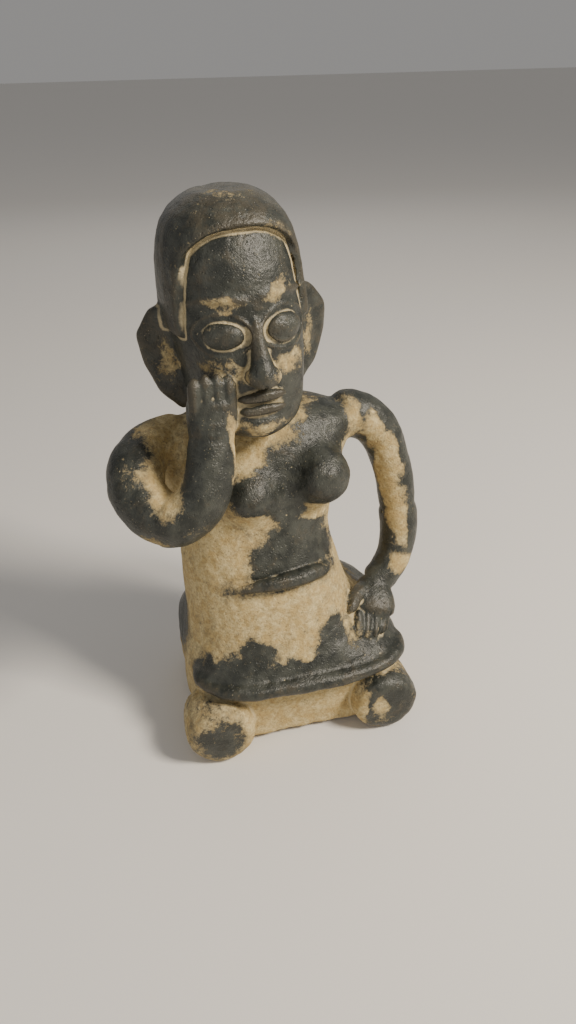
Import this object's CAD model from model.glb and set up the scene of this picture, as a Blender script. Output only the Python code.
"""A kneeling figure in hollow fired clay, as one hand-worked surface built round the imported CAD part.

The CAD nodes' own meshes become distance fields. The fields are softened, run into each other where the
clay was smeared together, given hand-made unevenness and fine modelling, and meshed again piece by piece.
Lengths are millimetres until a mesh is made, and metres in Blender.
"""
import math

import bpy
import numpy as np
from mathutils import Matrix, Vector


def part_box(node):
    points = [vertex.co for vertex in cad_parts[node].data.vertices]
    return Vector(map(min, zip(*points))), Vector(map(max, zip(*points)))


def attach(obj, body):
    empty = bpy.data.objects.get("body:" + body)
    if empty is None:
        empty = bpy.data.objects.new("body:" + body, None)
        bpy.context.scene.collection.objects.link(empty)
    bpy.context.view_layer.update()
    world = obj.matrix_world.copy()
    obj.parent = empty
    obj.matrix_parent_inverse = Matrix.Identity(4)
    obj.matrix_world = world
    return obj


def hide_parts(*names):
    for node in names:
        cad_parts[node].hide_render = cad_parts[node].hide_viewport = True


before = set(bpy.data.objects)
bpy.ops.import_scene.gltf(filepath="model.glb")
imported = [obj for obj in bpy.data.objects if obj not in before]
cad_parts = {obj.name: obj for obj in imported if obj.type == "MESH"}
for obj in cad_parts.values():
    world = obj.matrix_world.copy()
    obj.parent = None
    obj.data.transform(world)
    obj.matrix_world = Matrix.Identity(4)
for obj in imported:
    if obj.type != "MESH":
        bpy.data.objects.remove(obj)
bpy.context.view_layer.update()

import openvdb
from mathutils import Matrix, Vector

MM = 0.001
SEED = 11

# ---- how the clay was worked ----

BAND = 8.0            # the reach of every distance field
BODY_VOXEL = 1.1
HEAD_VOXEL = 0.65
HAND_VOXEL = 0.6
MARGIN = 5.0          # the room round a region
GRID_LATTICE = 90     # the number of random values along each axis, for noise on a grid
POINT_LATTICE = 40    # and for noise at points

# Each row: the nodes that were made as one, how far their facets are softened, and how far they are smeared
# into what was built before them.
WORKED = [
    (("skirt_shell", "torso_shell", "neck"), 2.2, 0.0),
    (("head_shell",), 1.8, 4.0),
    (("front_panel",), 0.6, 1.0),
    (("knee_right",), 0.9, 1.4),
    (("knee_left",), 0.9, 1.4),
    (("hem_roll",), 1.1, 4.0),
    (("waist_roll",), 0.8, 1.8),
    (("breast_right",), 2.4, 10.0),
    (("breast_left",), 2.4, 10.0),
    (("upper_arm_right", "forearm_right"), 2.2, 5.0),
    (("upper_arm_left", "forearm_left"), 2.0, 6.0),
    (("hand_right",), 0.55, 1.2),
    (("hand_left",), 0.6, 1.2),
    (("hair_cap",), 1.2, 4.0),
    (("ear_right",), 2.3, 3.4),
    (("ear_left",), 2.3, 3.4),
    (("nose",), 0.9, 2.2),
    (("eyeball_right",), 0.4, 0.5),
    (("eyeball_left",), 0.4, 0.5),
    (("eyelid_ring_right",), 0.35, 0.9),
    (("eyelid_ring_left",), 0.35, 0.9),
    (("upper_lip",), 0.5, 1.0),
    (("lower_lip",), 0.5, 1.0),
]

# Each hand is smeared on to its forearm, for this far past the wrist.
WRISTS = (("forearm_right", "hand_right"), ("forearm_left", "hand_left"))
WRIST_REACH = 7.0
KNEE_FLAT = 3.4        # how much of each knee's dome is pressed flat

HEAD_PIECES = (
    "head_shell", "hair_cap", "ear_right", "ear_left", "nose", "eyeball_right", "eyeball_left",
    "eyelid_ring_right", "eyelid_ring_left", "upper_lip", "lower_lip", "hand_right",
)
HAND_PIECES = ("hand_left",)
BODY_PIECES = tuple(n for n in sorted(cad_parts) if n not in HEAD_PIECES + HAND_PIECES)


def box_mm(node):
    """The corners of a CAD node in millimetres, as arrays."""
    low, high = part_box(node)
    return np.array(low) / MM, np.array(high) / MM


def spot(node, *share):
    """A point in a node's box, from its lowest corner at 0 to its highest at 1 along each axis."""
    low, high = box_mm(node)
    return low + (high - low) * np.array(share)


# ---- distance fields on a regular grid ----

class Region:
    """A block of voxels with the clay's distance field on it."""

    def __init__(self, nodes, voxel):
        corners = [box_mm(node) for node in nodes]
        low = np.min([c[0] for c in corners], axis=0) - MARGIN
        high = np.max([c[1] for c in corners], axis=0) + MARGIN
        self.voxel = voxel
        self.first = np.floor(low / voxel).astype(int)
        self.shape = tuple(np.ceil(high / voxel).astype(int) - self.first + 1)
        self.low, self.high = low, high
        self.raw = {}
        self.clay = None
        self.hollow = None

    def axes(self, window=None):
        """The places of the voxels along x, y and z, shaped so that they broadcast."""
        window = window or tuple(slice(0, n) for n in self.shape)
        spans = [(self.first[i] + np.arange(self.shape[i])[window[i]]) * self.voxel for i in range(3)]
        return np.ix_(*[span.astype(np.float32) for span in spans])

    def window(self, low, high, spare=2.0):
        """The slices of the block that hold a box."""
        start = np.floor((np.array(low) - spare) / self.voxel).astype(int) - self.first
        stop = np.ceil((np.array(high) + spare) / self.voxel).astype(int) - self.first + 1
        return tuple(slice(max(0, a), max(0, min(b, n))) for a, b, n in zip(start, stop, self.shape))

    def reaches(self, node):
        """True if a node comes near the region."""
        low, high = box_mm(node)
        return bool(np.all(low < self.high + BAND) and np.all(high > self.low - BAND))

    def distance(self, node):
        """The signed distance to a CAD node, kept for later."""
        if node not in self.raw:
            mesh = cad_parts[node].data
            mesh.calc_loop_triangles()
            points = np.empty(len(mesh.vertices) * 3, np.float32)
            mesh.vertices.foreach_get("co", points)
            corners = np.empty(len(mesh.loop_triangles) * 3, np.int32)
            mesh.loop_triangles.foreach_get("vertices", corners)
            grid = openvdb.FloatGrid.createLevelSetFromPolygons(
                points.reshape(-1, 3) / MM,
                triangles=corners.reshape(-1, 3).astype(np.uint32),
                transform=openvdb.createLinearTransform(voxelSize=self.voxel),
                halfWidth=BAND / self.voxel,
            )
            values = np.zeros(self.shape, np.float32)
            grid.copyToArray(values, ijk=tuple(int(i) for i in self.first))
            self.raw[node] = values
        return self.raw[node]


def blurred(values, reach):
    """A Gaussian blur whose reach is in voxels."""
    radius = max(1, int(math.ceil(2.2 * reach)))
    weights = np.exp(-0.5 * (np.arange(-radius, radius + 1) / reach) ** 2)
    weights = (weights / weights.sum()).astype(np.float32)
    for axis in range(3):
        edges = [(radius, radius) if i == axis else (0, 0) for i in range(3)]
        padded = np.pad(values, edges, mode="edge")
        length = values.shape[axis]
        total = np.zeros_like(values)
        for step, weight in enumerate(weights):
            part = [slice(None)] * 3
            part[axis] = slice(step, step + length)
            total += weight * padded[tuple(part)]
        values = total
    return values


def smeared(one, other, reach):
    """The union of two fields, with the crease between them filled over a reach."""
    if reach <= 0:
        return np.minimum(one, other)
    share = np.maximum(reach - np.abs(one - other), 0) / reach
    return np.minimum(one, other) - share * share * (reach / 4)


def carved(field, tool, reach=0.5):
    """A field with a tool's shape pressed into it."""
    return -smeared(-field, tool, reach)


def noise(region, scale, seed):
    """Smooth seeded noise between about -1 and 1, with features of a scale in millimetres."""
    count = GRID_LATTICE
    values = np.random.default_rng(seed).uniform(-1, 1, (count, count, count)).astype(np.float32)
    for axis, places in enumerate(region.axes()):
        place = places.ravel() / scale + 40.5
        whole = np.floor(place).astype(int)
        part = (place - whole).astype(np.float32)
        part = part * part * (3 - 2 * part)
        form = [1, 1, 1]
        form[axis] = -1
        part = part.reshape(form)
        before, after = np.take(values, whole % count, axis), np.take(values, (whole + 1) % count, axis)
        values = before * (1 - part) + after * part
    return values


def egg(region, window, centre, half, turn=0.0):
    """The distance to an ellipsoid, turned about the vertical by degrees."""
    x, y, z = region.axes(window)
    cos, sin = math.cos(math.radians(turn)), math.sin(math.radians(turn))
    dx, dy, dz = x - centre[0], y - centre[1], z - centre[2]
    across, along = dx * cos + dy * sin, dy * cos - dx * sin
    near = np.sqrt((across / half[0]) ** 2 + (along / half[1]) ** 2 + (dz / half[2]) ** 2) + 1e-6
    slope = np.sqrt(
        (across / half[0] ** 2) ** 2 + (along / half[1] ** 2) ** 2 + (dz / half[2] ** 2) ** 2
    ) + 1e-6
    return near * (near - 1) / slope


def stroke(region, window, points, radii):
    """The distance to a round stroke through points, whose radius changes along it."""
    x, y, z = region.axes(window)
    best = None
    for i in range(len(points) - 1):
        start, step = np.array(points[i]), np.array(points[i + 1]) - np.array(points[i])
        ahead = (x - start[0]) * step[0] + (y - start[1]) * step[1] + (z - start[2]) * step[2]
        share = np.clip(ahead / (step @ step), 0, 1)
        near = np.sqrt(
            (x - start[0] - share * step[0]) ** 2
            + (y - start[1] - share * step[1]) ** 2
            + (z - start[2] - share * step[2]) ** 2
        ) - (radii[i] + (radii[i + 1] - radii[i]) * share)
        best = near if best is None else np.minimum(best, near)
    return best


def model_egg(region, centre, half, turn=0.0, add=True, reach=1.0):
    """Adds an ellipsoid of clay, or presses one into it."""
    spread = max(half) + reach
    window = region.window(np.array(centre) - spread, np.array(centre) + spread)
    tool = egg(region, window, centre, half, turn)
    join = smeared if add else carved
    region.clay[window] = join(region.clay[window], tool, reach)


def model_stroke(region, points, radii, add=True, reach=0.8):
    """Adds a thin roll of clay, or draws a groove in it."""
    spread = max(radii) + reach
    window = region.window(np.min(points, axis=0) - spread, np.max(points, axis=0) + spread)
    tool = stroke(region, window, points, radii)
    join = smeared if add else carved
    region.clay[window] = join(region.clay[window], tool, reach)


def front_at(region, i, k):
    """Where the front of the clay is along one column of voxels."""
    column = region.clay[i, :, k]
    inside = np.nonzero(column < 0)[0]
    if not len(inside) or inside[0] == 0:
        return float((region.low[1] + region.high[1]) / 2)
    j = inside[0]
    share = column[j - 1] / (column[j - 1] - column[j])
    return float((region.first[1] + j - 1 + share) * region.voxel)


def surface_y(region, x, z):
    """Where the front of the clay is, at a place x, z, between the four columns round it."""
    across, up = x / region.voxel - region.first[0], z / region.voxel - region.first[2]
    i, k = int(across), int(up)
    part_x, part_z = across - i, up - k
    low = front_at(region, i, k) * (1 - part_x) + front_at(region, i + 1, k) * part_x
    high = front_at(region, i, k + 1) * (1 - part_x) + front_at(region, i + 1, k + 1) * part_x
    return low * (1 - part_z) + high * part_z


def laid_on(region, line, sink, closed=False):
    """Points x, z laid on the front of the clay, sunk by a little, and evened out along the line."""
    deep = np.array([surface_y(region, x, z) + sink for x, z in line])
    for _ in range(2):
        ends = (deep[-2], deep[1]) if closed else (deep[0], deep[-1])
        padded = np.concatenate([ends[:1], deep, ends[1:]])
        deep = (padded[:-2] + 2 * deep + padded[2:]) / 4
    return [(x, y, z) for (x, z), y in zip(line, deep)]


# ---- fine modelling ----

RIM_STEPS = 24
EYE_TURN = {"right": -19.0, "left": 28.0}    # how far each eye faces outward, in degrees
RIM_WIDE, RIM_TALL = 1.30, 1.45              # the second rim against the first
LIP_GROOVE = 3
EAR_TURN = {"right": -23.0, "left": 33.0}
WASH_OUT, WASH_WIDE = 1.7, 1.3               # the wash line's distance from the cap, and its half width
FINGER_SPACING = 5.8
BROW_RADII = (1.5, 1.9, 2.1, 2.1, 2.0, 1.8, 1.5, 1.1, 0.7)


def model_eye(region, side):
    """A full eyeball, a second rim round the lids and an arched brow."""
    low, high = box_mm(f"eyelid_ring_{side}")
    middle, half = (low + high) / 2, (high - low) / 2
    outward = -1 if side == "right" else 1
    turn = EYE_TURN[side]
    facing = np.array([math.sin(math.radians(turn)), -math.cos(math.radians(turn)), 0.0])
    size = (half[0] / math.cos(math.radians(turn)) - 1.0, 4.4, half[2] * 0.92)
    model_egg(region, middle + facing * 0.3, size, turn, reach=0.8)
    rim = []
    for step in range(RIM_STEPS + 1):
        angle = 2 * math.pi * step / RIM_STEPS
        rise = math.copysign(abs(math.sin(angle)) ** 1.2, math.sin(angle))
        rim.append((middle[0] + RIM_WIDE * half[0] * math.cos(angle), middle[2] + RIM_TALL * half[2] * rise))
    model_stroke(region, laid_on(region, rim, 0.45, closed=True), [0.85] * len(rim), reach=0.9)
    brow = []
    for step in range(len(BROW_RADII)):
        share = step / (len(BROW_RADII) - 1)
        rise = 1.85 + 0.45 * math.sin(math.pi * (0.22 + 0.70 * share))
        brow.append((middle[0] + outward * (share * 2.3 - 1.0) * half[0], middle[2] + half[2] * rise))
    model_stroke(region, laid_on(region, brow, 0.8), BROW_RADII, reach=2.6)


def model_nose_and_mouth(region):
    """Wings and nostrils to the nose, a groove over the lip and a round chin."""
    low, high = box_mm("nose")
    middle = (low + high) / 2
    for side in (-1, 1):
        x = middle[0] + side * 5.2
        model_egg(region, (x, low[1] + 7.5, low[2] + 4.6), (3.1, 4.4, 3.2), reach=2.2)
        model_egg(region, (middle[0] + side * 2.9, low[1] + 4.6, low[2] + 0.4), (1.3, 1.5, 1.1), add=False)
    lip_low, lip_high = box_mm("upper_lip")
    under_low = box_mm("lower_lip")[0]
    centre = (lip_low[0] + lip_high[0]) / 2
    x = middle[0]
    z = lip_high[2] + 1.6
    groove = [(x, surface_y(region, x, level) - 0.6, level) for level in (z, z + LIP_GROOVE)]
    model_stroke(region, groove, [1.0, 0.8], add=False, reach=1.2)
    chin = under_low[2] - 6.5
    model_egg(region, (centre, surface_y(region, centre, chin) + 4.0, chin), (9.0, 6.0, 5.5), reach=4.0)


def model_ear(region, side):
    """A dished ear with a raised rim."""
    outward = -1 if side == "right" else 1
    turn = EAR_TURN[side]
    centre = spot(f"ear_{side}", 0.5 + outward * 0.08, 0.5, 0.52)
    low, high = box_mm(f"ear_{side}")
    tall = (high[2] - low[2]) / 2
    wide = (high[0] - low[0]) / 2
    facing = np.array([math.sin(math.radians(turn)), -math.cos(math.radians(turn)), 0.0])
    model_egg(region, centre + facing * 5.2, (wide * 0.62, 3.6, tall * 0.68), turn, add=False, reach=2.0)
    model_egg(region, centre - facing * 6.0, (wide * 0.55, 3.6, tall * 0.6), turn, add=False, reach=2.0)


def model_hair(region):
    """A shallow groove where the cap's edge meets the forehead."""
    hair, skin = region.distance("hair_cap"), region.distance("head_shell")
    behind = np.maximum(region.axes()[1] - spot("hair_cap", 0, 0.5, 0)[1], 0)
    edge = np.sqrt((hair - 1.6) ** 2 + (skin - 0.2) ** 2) - 0.6 + behind
    region.clay = carved(region.clay, edge, 1.0)


def hairline(region, points):
    """Where the pale wash lies: a line on the face along the cap's edge, from 0 to 1."""
    if not region.reaches("hair_cap"):
        return np.zeros(len(points))
    out = sampled(region.distance("hair_cap"), region, points)
    front = np.clip((spot("hair_cap", 0, 0.55, 0)[1] - points[:, 1]) / 6, 0, 1)
    uneven_wash = np.clip(0.75 + 0.8 * noise_at(points, 9, SEED + 70), 0, 1)
    return np.clip(1.5 - np.abs(out - WASH_OUT) / WASH_WIDE, 0, 1) * front * uneven_wash


def model_trunk(region):
    """Fuller clay beside the raised arm, and flat ends to the knees."""
    model_egg(region, spot("torso_shell", 0.13, 0.50, 0.52), (11, 17, 24), reach=4.0)
    for node in ("knee_right", "knee_left"):
        low, high = box_mm(node)
        window = region.window(low, (high[0], low[1] + KNEE_FLAT + 3, high[2]), 1.0)
        ahead = region.axes(window)[1] - (low[1] + KNEE_FLAT) + 0 * region.clay[window]
        region.clay[window] = carved(region.clay[window], ahead, 2.5)


def model_left_hand(region):
    """Grooves between the fingers, run up on to the back of the hand."""
    low, high = box_mm("hand_left")
    centre = (low + high) / 2
    for step in (-1, 0, 1):
        x = centre[0] + 3.5 + step * FINGER_SPACING
        points = []
        for share in (0.0, 0.5, 1.0):
            place_x = x + 2.5 - 6.0 * share
            z = high[2] - 14 - 13 * share
            points.append((place_x, surface_y(region, place_x, z) - 0.2, z))
        model_stroke(region, points, [0.5, 0.8, 0.9], add=False, reach=0.8)


def uneven(region, amounts, seed):
    """Adds the unevenness of hand-worked clay, each amount being (scale, height)."""
    for step, (scale, height) in enumerate(amounts):
        region.clay += height * noise(region, scale, seed + step)


def pitted(region, spacing, radius, depth, seed):
    """Presses small pits into the surface, at seeded places."""
    chance = noise(region, spacing, seed)
    region.clay += depth * np.clip((chance - (1 - radius)) / radius, 0, 1)


def worked(region):
    """Builds the clay's field for a region from the CAD nodes that reach it."""
    clay = np.full(region.shape, BAND, np.float32)
    for nodes, soften, smear in WORKED:
        near = [node for node in nodes if region.reaches(node)]
        if not near:
            continue
        body = region.distance(near[0])
        for node in near[1:]:
            body = np.minimum(body, region.distance(node))
        clay = smeared(clay, blurred(body, soften / region.voxel), smear)
    for arm, hand in WRISTS:
        if region.reaches(arm) and region.reaches(hand):
            both = blurred(np.minimum(region.distance(arm), region.distance(hand)), 2.4 / region.voxel)
            clay = smeared(clay, np.maximum(both, region.distance(arm) - WRIST_REACH), 3.0)
    region.clay = clay


# ---- meshes ----

PAINT = []
SEAM = 7.0            # how far the slip of one node runs on over the next


def part_of(node):
    """The part of the figure that a node is in. A patch stays on its own part."""
    if "arm" in node or "hand" in node:
        return node.rsplit("_", 1)[1]
    return "head" if node in HEAD_PIECES else "body"


def patch(node, share, size, slip, depth=20.0):
    """A patch of black slip, or of bare clay where slip is negative, centred in a node's box.

    Its size is its half width and half height, and depth is how far it reaches from front to back."""
    PAINT.append((part_of(node), spot(node, *share), np.array([size[0], depth, size[1]]), slip))


def sampled(field, region, points):
    """The values of a field at points, between voxels."""
    place = points / region.voxel - region.first
    whole = np.clip(np.floor(place).astype(int), 0, np.array(region.shape) - 2)
    part = place - whole
    total = np.zeros(len(points))
    for corner in range(8):
        step = np.array([corner & 1, corner >> 1 & 1, corner >> 2 & 1])
        weight = np.prod(np.where(step, part, 1 - part), axis=1)
        i, j, k = (whole + step).T
        total += weight * field[i, j, k]
    return total


def noise_at(points, scale, seed):
    """Smooth seeded noise between about -1 and 1 at any points."""
    lattice = np.random.default_rng(seed).uniform(-1, 1, (POINT_LATTICE,) * 3)
    place = points / scale + 200.5
    whole = np.floor(place).astype(int)
    part = place - whole
    part = part * part * (3 - 2 * part)
    total = np.zeros(len(points))
    for corner in range(8):
        step = np.array([corner & 1, corner >> 1 & 1, corner >> 2 & 1])
        i, j, k = ((whole + step) % POINT_LATTICE).T
        total += np.prod(np.where(step, part, 1 - part), axis=1) * lattice[i, j, k]
    return total


def painted(points, node):
    """How much black slip a node's own paint puts at points."""
    amount = np.full(len(points), BASE_SLIP[node])
    for part, centre, size, slip in PAINT:
        if part != part_of(node):
            continue
        near = np.clip((1.65 - np.linalg.norm((points - centre) / size, axis=1)) / 1.25, 0, 1)
        near = near * near * (3 - 2 * near)
        amount = amount * (1 - near) + (0.5 + 0.5 * slip) * near
    return amount


def slip_at(region, points):
    """How much black slip there is at points, before wear. It runs on over the seams between the nodes."""
    wander = [
        5.0 * noise_at(points, 26, SEED + 60 + axis)
        + 3.4 * noise_at(points, 11, SEED + 40 + axis)
        + 2.0 * noise_at(points, 4.5, SEED + 50 + axis)
        for axis in range(3)
    ]
    moved = points + np.stack(wander, axis=1)
    low, high = points.min(axis=0) - SEAM, points.max(axis=0) + SEAM
    amount, weight = np.zeros(len(points)), np.full(len(points), 1e-6)
    for node in region.raw:
        start, stop = box_mm(node)
        if np.any(start > high) or np.any(stop < low):
            continue
        share = np.clip(1 - np.maximum(sampled(region.distance(node), region, points), 0) / SEAM, 0, 1) ** 2
        reached = share > 0
        amount[reached] += share[reached] * painted(moved[reached], node)
        weight += share
    return np.clip(amount / weight, 0, 1)


LAP = 1.6             # how far a piece runs on under its neighbours
DIVE = 0.16           # how fast it sinks below the surface there


def meshed(region, node, body="root"):
    """Meshes the part of the clay that belongs to a node, running a little way under its neighbours."""
    low, high = box_mm(node)
    window = region.window(low, high, MARGIN)
    own = region.distance(node)[window]
    others = [n for n in region.raw if n != node]
    nearest = np.full(own.shape, BAND, np.float32)
    for other in others:
        nearest = np.minimum(nearest, region.distance(other)[window])
    beyond = (own - nearest) / 2
    field = region.clay[window] + DIVE * np.maximum(beyond, 0) ** 2
    field = np.maximum(field, beyond - LAP)
    field = np.maximum(field, own - MARGIN + region.voxel)
    grid = openvdb.FloatGrid(BAND)
    first = region.first + np.array([part.start for part in window])
    grid.copyFromArray(field.astype(np.float32), ijk=tuple(int(i) for i in first))
    grid.transform = openvdb.createLinearTransform(voxelSize=region.voxel)
    points, quads = grid.convertToQuads(0.0)
    points = points.astype(np.float64)
    points[:, 2] = np.maximum(points[:, 2], 0.0)
    mesh = bpy.data.meshes.new(f"clay_{node}")
    mesh.from_pydata(points * MM, [], quads[:, ::-1].tolist())
    mesh.update()
    if mesh_volume(points, quads[:, ::-1]) < 0:
        mesh.flip_normals()
    mesh.polygons.foreach_set("use_smooth", np.ones(len(quads), bool))
    curve = sampled(region.hollow, region, points)
    for name, values in (
        ("slip", slip_at(region, points)),
        ("cavity", np.clip(np.maximum(-curve, hairline(region, points)), 0, 1)),
        ("edge", np.clip(curve, 0, 1)),
    ):
        mesh.attributes.new(name, "FLOAT", "POINT").data.foreach_set("value", values.astype(np.float32))
    obj = bpy.data.objects.new(f"clay_{node}", mesh)
    bpy.context.scene.collection.objects.link(obj)
    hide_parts(node)
    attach(obj, body)
    return obj


def mesh_volume(points, quads):
    """The volume that quads enclose, which is negative where they face in."""
    a, b, c, d = (points[quads[:, i]] for i in range(4))
    return float(np.einsum("ij,ij->", a, np.cross(b, c)) + np.einsum("ij,ij->", a, np.cross(c, d))) / 6


def hollows(region):
    """How hollow (negative) or raised (positive) the clay is, from its field against a softened copy."""
    fine = blurred(region.clay, 1.0 / region.voxel) - region.clay
    broad = blurred(region.clay, 2.4 / region.voxel) - region.clay
    region.hollow = fine / 0.38 + broad / 2.2


# ---- the layout of the slip ----

def paint_skirt():
    """A ragged dark band over the hem, with bare clay above it, and a dark back."""
    for share, size in (
        ((0.08, 0.08, 0.44), (10, 8)),
        ((0.24, 0.0, 0.47), (17, 11)),
        ((0.42, 0.0, 0.46), (15, 10)),
        ((0.58, 0.0, 0.50), (19, 13)),
        ((0.77, 0.0, 0.47), (16, 10)),
        ((0.95, 0.10, 0.47), (12, 10)),
        ((0.63, 0.05, 0.64), (9, 9)),
        ((0.27, 0.05, 0.60), (8, 6)),
    ):
        patch("skirt_shell", share, size, 1, 26)
    for share, size in (
        ((0.33, 0.1, 0.80), (18, 11)),
        ((0.47, 0.05, 0.62), (6, 5)),
        ((0.84, 0.1, 0.62), (9, 7)),
    ):
        patch("skirt_shell", share, size, -1)
    for share, size in (
        ((0.45, 1.0, 0.50), (40, 26)),
        ((0.25, 0.95, 0.82), (26, 24)),
        ((0.80, 1.0, 0.30), (22, 16)),
        ((1.0, 0.75, 0.45), (16, 26)),
        ((0.0, 0.8, 0.55), (14, 30)),
    ):
        patch("skirt_shell", share, size, 0.95, 38)
    for share, size in (((0.30, 0.98, 0.12), (40, 9)), ((0.75, 0.95, 0.72), (12, 16))):
        patch("skirt_shell", share, size, -0.8, 20)


def paint_torso():
    """A dark sweep from the left shoulder to the belly with bare clay either side, and a dark back."""
    for share, size in (
        ((0.95, 0.3, 0.96), (17, 12)),
        ((0.80, 0.1, 0.90), (14, 13)),
        ((0.70, 0.0, 0.78), (12, 11)),
        ((0.74, 0.0, 0.62), (16, 13)),
        ((0.58, 0.0, 0.70), (12, 10)),
        ((0.50, 0.0, 0.47), (12, 9)),
        ((0.66, 0.0, 0.28), (15, 16)),
        ((0.55, 0.0, 0.10), (17, 11)),
        ((0.78, 0.05, 0.08), (12, 8)),
    ):
        patch("torso_shell", share, size, 1, 26)
    for share, size in (
        ((0.42, 0.05, 0.90), (11, 12)),
        ((0.32, 0.0, 0.70), (10, 10)),
        ((0.70, 0.0, 0.45), (7, 5)),
        ((0.18, 0.1, 0.18), (15, 16)),
        ((0.93, 0.2, 0.30), (9, 16)),
    ):
        patch("torso_shell", share, size, -1)
    patch("torso_shell", (0.02, 0.5, 0.5), (16, 34), -0.7, 22)
    patch("torso_shell", (0.5, 1.0, 0.80), (52, 26), 1, 32)
    patch("torso_shell", (0.40, 1.0, 0.30), (22, 34), 0.95, 28)
    patch("torso_shell", (0.85, 0.95, 0.25), (10, 30), -0.8, 18)
    patch("breast_right", (0.62, 0.2, 0.66), (15, 9), 1)
    patch("breast_right", (0.6, 0.3, 0.0), (10, 6), -0.8)
    patch("breast_left", (0.5, 0.1, 0.60), (19, 15), 1)
    patch("breast_left", (0.35, 0.3, -0.12), (10, 5), -1)


def paint_arms():
    """Dark arms, worn to bare clay on the inner side, at the elbows and at the wrists."""
    patch("upper_arm_right", (0.66, 0.25, 0.62), (11, 13), -0.95, 16)
    patch("upper_arm_right", (0.80, 0.75, 0.85), (15, 11), -0.8)
    patch("upper_arm_right", (0.20, 0.2, 0.75), (10, 8), 0.1)
    patch("upper_arm_right", (0.45, 0.1, 0.12), (10, 5), -0.2)
    patch("forearm_right", (1.0, 0.4, 0.85), (4, 13), -1, 14)
    patch("forearm_right", (0.55, 0.0, 0.25), (9, 6), 0.2)
    for along, up in ((0.08, 0.80), (0.36, 0.70), (0.52, 0.50), (0.60, 0.30), (0.68, 0.08)):
        patch("upper_arm_left", (along, 0.0, up), (6, 13), -1, 13)
    patch("forearm_left", (0.62, 0.0, 0.80), (5, 12), -0.9, 13)
    patch("forearm_left", (0.55, 0.0, 0.36), (8, 7), -0.9, 13)
    patch("hand_left", (0.5, 0.3, 0.4), (26, 22), 0.9, 26)


def paint_head():
    """A dark head, rubbed over the crown, and pale in the ears, on the brows, cheeks and chin."""
    patch("hair_cap", (0.48, 0.30, 0.97), (15, 6), 0.40, 14)
    patch("hair_cap", (0.75, 0.1, 0.72), (9, 6), 0.5)
    patch("hair_cap", (0.3, 1.0, 0.30), (16, 7), 0.3)
    patch("ear_right", (0.50, 0.2, 0.50), (4, 10), -0.05)
    patch("ear_left", (0.50, 0.2, 0.50), (3.5, 10), 0.05)
    for side in ("right", "left"):
        patch(f"eyelid_ring_{side}", (0.5, 0.3, -0.9), (13, 6), -0.25, 14)
        patch(f"eyelid_ring_{side}", (0.5, 0.3, 1.55), (11, 3.5), -0.15, 12)
    patch("lower_lip", (0.5, 0.3, -0.9), (15, 3.5), -0.3, 12)
    patch("neck", (0.5, 1.0, 0.5), (24, 20), 0.8)


def paint_knees():
    """A worn right knee with a dark middle, and a dark left one with a rubbed middle."""
    patch("knee_right", (0.44, 0.0, 0.54), (13, 13), 0.42, 14)
    patch("knee_right", (0.95, 0.2, 0.5), (5, 12), -1, 14)
    patch("knee_left", (0.5, 0.0, 0.62), (17, 14), 1, 18)
    patch("knee_left", (0.44, 0.0, 0.52), (6, 7), -0.6, 12)
    patch("knee_left", (0.08, 0.1, 0.5), (5, 14), -0.9, 14)


paint_skirt()
paint_torso()
paint_arms()
paint_head()
paint_knees()

# How much of each node the slip covers away from these patches.
BASE_SLIP = {
    "skirt_shell": 0.22, "front_panel": 0.10, "hem_roll": 0.60, "knee_right": 0.34, "knee_left": 0.50,
    "torso_shell": 0.34, "waist_roll": 0.95, "neck": 0.25, "breast_right": 0.45, "breast_left": 0.70,
    "upper_arm_right": 0.78, "forearm_right": 0.85, "upper_arm_left": 0.76, "forearm_left": 0.74,
    "hand_right": 0.96, "hand_left": 0.96, "head_shell": 0.88, "hair_cap": 0.90, "ear_right": 0.78,
    "ear_left": 0.82, "nose": 0.97, "eyeball_right": 0.86, "eyeball_left": 0.86, "eyelid_ring_right": 0.78,
    "eyelid_ring_left": 0.78, "upper_lip": 0.92, "lower_lip": 0.90,
}

# ---- the material ----

SLIP_DARK = (0.017, 0.020, 0.017, 1)
SLIP_LIGHT = (0.050, 0.054, 0.045, 1)
SLIP_BROWN = (0.066, 0.056, 0.036, 1)
SMOKE = (0.150, 0.130, 0.084, 1)
CLAY_DEEP = (0.270, 0.178, 0.076, 1)
CLAY = (0.465, 0.345, 0.148, 1)
CLAY_PALE = (0.605, 0.495, 0.262, 1)
WASH = (0.570, 0.480, 0.290, 1)


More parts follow.
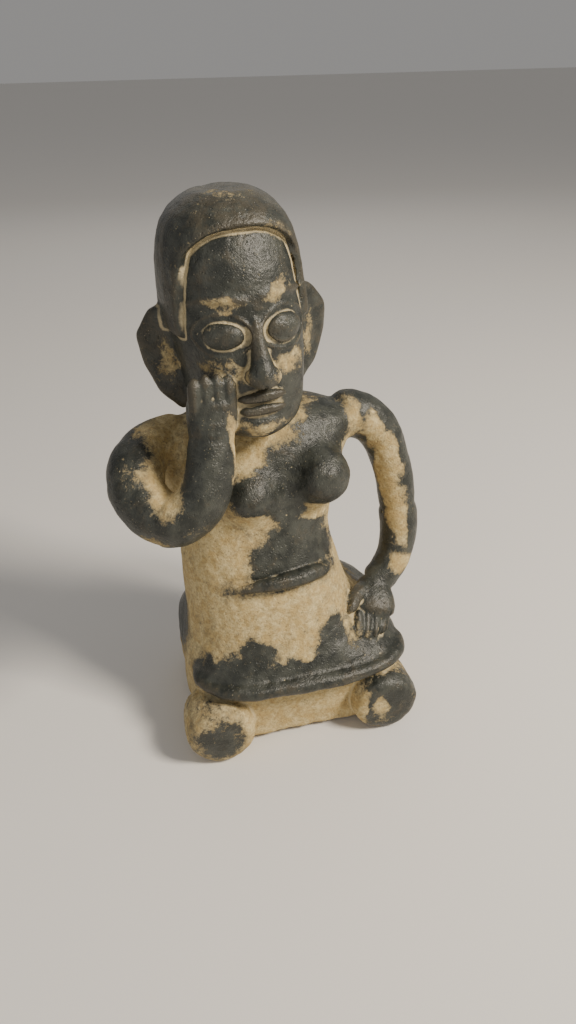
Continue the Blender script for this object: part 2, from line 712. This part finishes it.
class Nodes:
    """Short calls for building a shader."""

    def __init__(self, tree):
        self.tree = tree
        self.coordinates = tree.nodes.new("ShaderNodeTexCoord").outputs["Object"]

    def link(self, source, target):
        self.tree.links.new(source, target)

    def attribute(self, name):
        node = self.tree.nodes.new("ShaderNodeAttribute")
        node.attribute_name = name
        return node.outputs["Fac"]

    def noise(self, size_mm, detail=3.0, roughness=0.55, distortion=0.0):
        node = self.tree.nodes.new("ShaderNodeTexNoise")
        node.inputs["Scale"].default_value = 1 / (size_mm * MM)
        node.inputs["Detail"].default_value = detail
        node.inputs["Roughness"].default_value = roughness
        node.inputs["Distortion"].default_value = distortion
        self.link(self.coordinates, node.inputs["Vector"])
        return node.outputs["Fac"]

    def cells(self, size_mm):
        node = self.tree.nodes.new("ShaderNodeTexVoronoi")
        node.inputs["Scale"].default_value = 1 / (size_mm * MM)
        self.link(self.coordinates, node.inputs["Vector"])
        return node.outputs["Distance"]

    def sum(self, *terms):
        """The sum of (value, weight) pairs."""
        total = None
        for term in terms:
            node = self.tree.nodes.new("ShaderNodeMath")
            node.operation = "MULTIPLY_ADD"
            value, weight = term
            self.link(value, node.inputs[0])
            node.inputs[1].default_value = weight
            if total is None:
                node.inputs[2].default_value = 0.0
            else:
                self.link(total, node.inputs[2])
            total = node.outputs[0]
        return total

    def ramp(self, value, low, high):
        """0 below low and 1 above high, smooth between. Low may be the larger, which turns it round."""
        node = self.tree.nodes.new("ShaderNodeMapRange")
        node.interpolation_type = "SMOOTHSTEP"
        node.inputs["From Min"].default_value = min(low, high)
        node.inputs["From Max"].default_value = max(low, high)
        node.inputs["To Min"].default_value = 0.0 if low < high else 1.0
        node.inputs["To Max"].default_value = 1.0 if low < high else 0.0
        self.link(value, node.inputs["Value"])
        return node.outputs["Result"]

    def times(self, one, other):
        node = self.tree.nodes.new("ShaderNodeMath")
        node.operation = "MULTIPLY"
        self.link(one, node.inputs[0])
        self.link(other, node.inputs[1])
        return node.outputs[0]

    def mix(self, share, one, other):
        """Two colours mixed, each a colour or a link."""
        node = self.tree.nodes.new("ShaderNodeMix")
        node.data_type = "RGBA"
        self.link(share, node.inputs["Factor"])
        for key, colour in (("A", one), ("B", other)):
            socket = [s for s in node.inputs if s.name == key and s.type == "RGBA"][0]
            if isinstance(colour, tuple):
                socket.default_value = colour
            else:
                self.link(colour, socket)
        return [s for s in node.outputs if s.type == "RGBA"][0]

    def spread(self, share, low, high):
        """A number from low to high as a share goes from 0 to 1."""
        node = self.tree.nodes.new("ShaderNodeMapRange")
        node.inputs["To Min"].default_value = low
        node.inputs["To Max"].default_value = high
        self.link(share, node.inputs["Value"])
        return node.outputs["Result"]

    def bump(self, height, depth_mm, strength, before=None):
        node = self.tree.nodes.new("ShaderNodeBump")
        node.inputs["Distance"].default_value = depth_mm * MM
        node.inputs["Strength"].default_value = strength
        self.link(height, node.inputs["Height"])
        if before is not None:
            self.link(before, node.inputs["Normal"])
        return node.outputs["Normal"]


def fired_clay(name):
    """Buff fired clay under a worn, semi-gloss black slip, with a pale wash left in the grooves."""
    material = bpy.data.materials.new(name)
    material.use_nodes = True
    tree = material.node_tree
    shader = tree.nodes["Principled BSDF"]
    n = Nodes(tree)
    slip, cavity, edge = n.attribute("slip"), n.attribute("cavity"), n.attribute("edge")

    # Where the slip is left: whole, or as a thin smoky film round its edges.
    cloud = n.noise(14, 6, 0.66, 0.9)
    flake = n.noise(3.0, 5, 0.65, 0.5)
    scratch = n.noise(0.9, 3, 0.6)
    left = n.sum((slip, 1.0), (cloud, 0.70), (flake, 0.80), (scratch, 0.42), (cavity, -0.25), (edge, -0.18))
    covered = n.ramp(left, 1.38, 1.58)
    film = n.ramp(left, 1.08, 1.54)

    # The bare clay.
    tone = n.ramp(n.noise(7, 6, 0.68, 0.5), 0.38, 0.62)
    grain = n.ramp(n.noise(1.6, 4, 0.65), 0.38, 0.66)
    bare = n.mix(tone, CLAY, CLAY_PALE)
    bare = n.mix(n.spread(grain, 0.0, 0.50), bare, CLAY_DEEP)
    fleck = n.ramp(n.noise(1.2, 4, 0.65, 0.6), 0.585, 0.66)
    bare = n.mix(n.spread(fleck, 0.0, 0.72), bare, SMOKE)
    bare = n.mix(n.spread(film, 0.0, 0.80), bare, SMOKE)

    # The slip.
    shade = n.ramp(n.noise(8, 5, 0.6), 0.34, 0.68)
    dark = n.mix(shade, SLIP_DARK, SLIP_LIGHT)
    thin = n.ramp(n.sum((cloud, 1.0), (flake, 0.5), (edge, 0.30)), 0.80, 1.05)
    dark = n.mix(n.spread(thin, 0.0, 0.65), dark, SLIP_BROWN)

    # Pale wash in the grooves, and small pale specks in some places.
    speck = n.times(n.ramp(n.noise(0.8, 2, 0.5), 0.66, 0.74), n.ramp(n.noise(6, 3, 0.6), 0.48, 0.60))
    groove = n.ramp(n.sum((cavity, 1.0), (flake, 0.5)), 0.62, 1.05)
    dark = n.mix(n.spread(speck, 0.0, 0.55), dark, WASH)
    colour = n.mix(covered, bare, dark)
    colour = n.mix(n.spread(groove, 0.0, 0.80), colour, WASH)
    n.link(colour, shader.inputs["Base Color"])

    # Gloss follows the slip.
    dull = n.spread(covered, 0.84, 0.30)
    rub = n.sum((dull, 1.0), (n.noise(2.4, 3, 0.6), 0.16), (groove, 0.25))
    n.link(rub, shader.inputs["Roughness"])
    shader.inputs["IOR"].default_value = 1.48

    # Relief: the slip's edge, pores and fine pits.
    pore = n.ramp(n.cells(2.3), 0.12, 0.30)
    fine = n.noise(0.9, 4, 0.65)
    soft = n.noise(3.6, 4, 0.55)
    first = n.bump(n.sum((soft, 1.0)), 0.75, 0.7)
    second = n.bump(n.sum((fine, 0.7), (pore, 0.6), (covered, 0.45)), 0.38, 0.75, first)
    n.link(second, shader.inputs["Normal"])
    return material


# ---- the floor, the lights and the camera ----

FLOOR_HALF = 14.0
FLOOR_GAP = 0.0002
CAMERA_PLACE = (-0.08235, -0.3658, 0.3590)
CAMERA_TURN, CAMERA_PITCH, CAMERA_ROLL = 14.0, 31.3, -1.24    # degrees
CAMERA_LENS = 26.67

def floor():
    """A wide, plain, pale floor, in metres."""
    half = FLOOR_HALF
    mesh = bpy.data.meshes.new("floor")
    corners = [(x, y, -FLOOR_GAP) for x, y in ((-half, -half), (half, -half), (half, half), (-half, half))]
    mesh.from_pydata(corners, [], [(0, 1, 2, 3)])
    material = bpy.data.materials.new("floor")
    material.use_nodes = True
    shader = material.node_tree.nodes["Principled BSDF"]
    shader.inputs["Base Color"].default_value = (0.76, 0.74, 0.71, 1)
    shader.inputs["Roughness"].default_value = 0.9
    mesh.materials.append(material)
    obj = bpy.data.objects.new("floor", mesh)
    bpy.context.scene.collection.objects.link(obj)


def area_light(name, place, target, size, watts, colour):
    """A square soft light that faces a target."""
    light = bpy.data.lights.new(name, "AREA")
    light.size = size
    light.energy = watts
    light.color = colour
    obj = bpy.data.objects.new(name, light)
    obj.location = place
    obj.rotation_euler = (Vector(target) - Vector(place)).to_track_quat("-Z", "Y").to_euler()
    bpy.context.scene.collection.objects.link(obj)


def lights():
    """A warm key from the upper right and front, a wide fill, and a pale surrounding."""
    target = (0, 0, 0.16)
    area_light("key", (0.80, -0.70, 1.10), target, 0.34, 30, (1.0, 0.90, 0.76))
    area_light("fill", (-1.1, -0.9, 0.8), target, 1.2, 3, (1.0, 0.96, 0.92))
    area_light("back", (0.2, 1.2, 1.1), target, 1.6, 2.5, (1.0, 0.96, 0.90))
    world = bpy.data.worlds.new("studio")
    world.use_nodes = True
    world.node_tree.nodes["Background"].inputs["Color"].default_value = (0.84, 0.82, 0.80, 1)
    world.node_tree.nodes["Background"].inputs["Strength"].default_value = 0.34
    bpy.context.scene.world = world


def camera():
    """The camera stands above the figure and to its right, and looks down."""
    place = Vector(CAMERA_PLACE)
    turn, pitch, roll = (math.radians(angle) for angle in (CAMERA_TURN, CAMERA_PITCH, CAMERA_ROLL))
    level = Vector((math.sin(turn), math.cos(turn), 0))
    right = Vector((math.cos(turn), -math.sin(turn), 0))
    ahead = level * math.cos(pitch) - Vector((0, 0, math.sin(pitch)))
    upward = right.cross(ahead)
    across = right * math.cos(roll) + upward * math.sin(roll)
    upright = upward * math.cos(roll) - right * math.sin(roll)
    data = bpy.data.cameras.new("camera")
    data.lens = CAMERA_LENS
    data.clip_start = 0.01
    obj = bpy.data.objects.new("camera", data)
    obj.matrix_world = Matrix.Translation(place) @ Matrix((across, upright, -ahead)).transposed().to_4x4()
    bpy.context.scene.collection.objects.link(obj)
    bpy.context.scene.camera = obj


# ---- the figure ----

def build_body():
    region = Region(BODY_PIECES, BODY_VOXEL)
    worked(region)
    model_trunk(region)
    uneven(region, ((17, 0.55), (7, 0.28), (3.2, 0.14)), SEED)
    pitted(region, 2.4, 0.24, 0.7, SEED + 20)
    return region


def build_head():
    region = Region(HEAD_PIECES, HEAD_VOXEL)
    worked(region)
    for side in ("right", "left"):
        model_ear(region, side)
        model_eye(region, side)
    model_nose_and_mouth(region)
    model_hair(region)
    uneven(region, ((17, 0.40), (7, 0.20), (3.2, 0.10)), SEED)
    pitted(region, 2.4, 0.20, 0.5, SEED + 20)
    return region


def build_left_hand():
    region = Region(HAND_PIECES, HAND_VOXEL)
    worked(region)
    model_left_hand(region)
    uneven(region, ((17, 0.55), (7, 0.20), (3.2, 0.10)), SEED)
    return region


def build_figure():
    """Makes every piece of the figure in the fired clay material."""
    clay = fired_clay("fired_clay")
    for build, nodes in (
        (build_body, BODY_PIECES),
        (build_head, HEAD_PIECES),
        (build_left_hand, HAND_PIECES),
    ):
        region = build()
        hollows(region)
        for node in nodes:
            piece = meshed(region, node)
            piece.data.materials.append(clay)


build_figure()
floor()
lights()
camera()
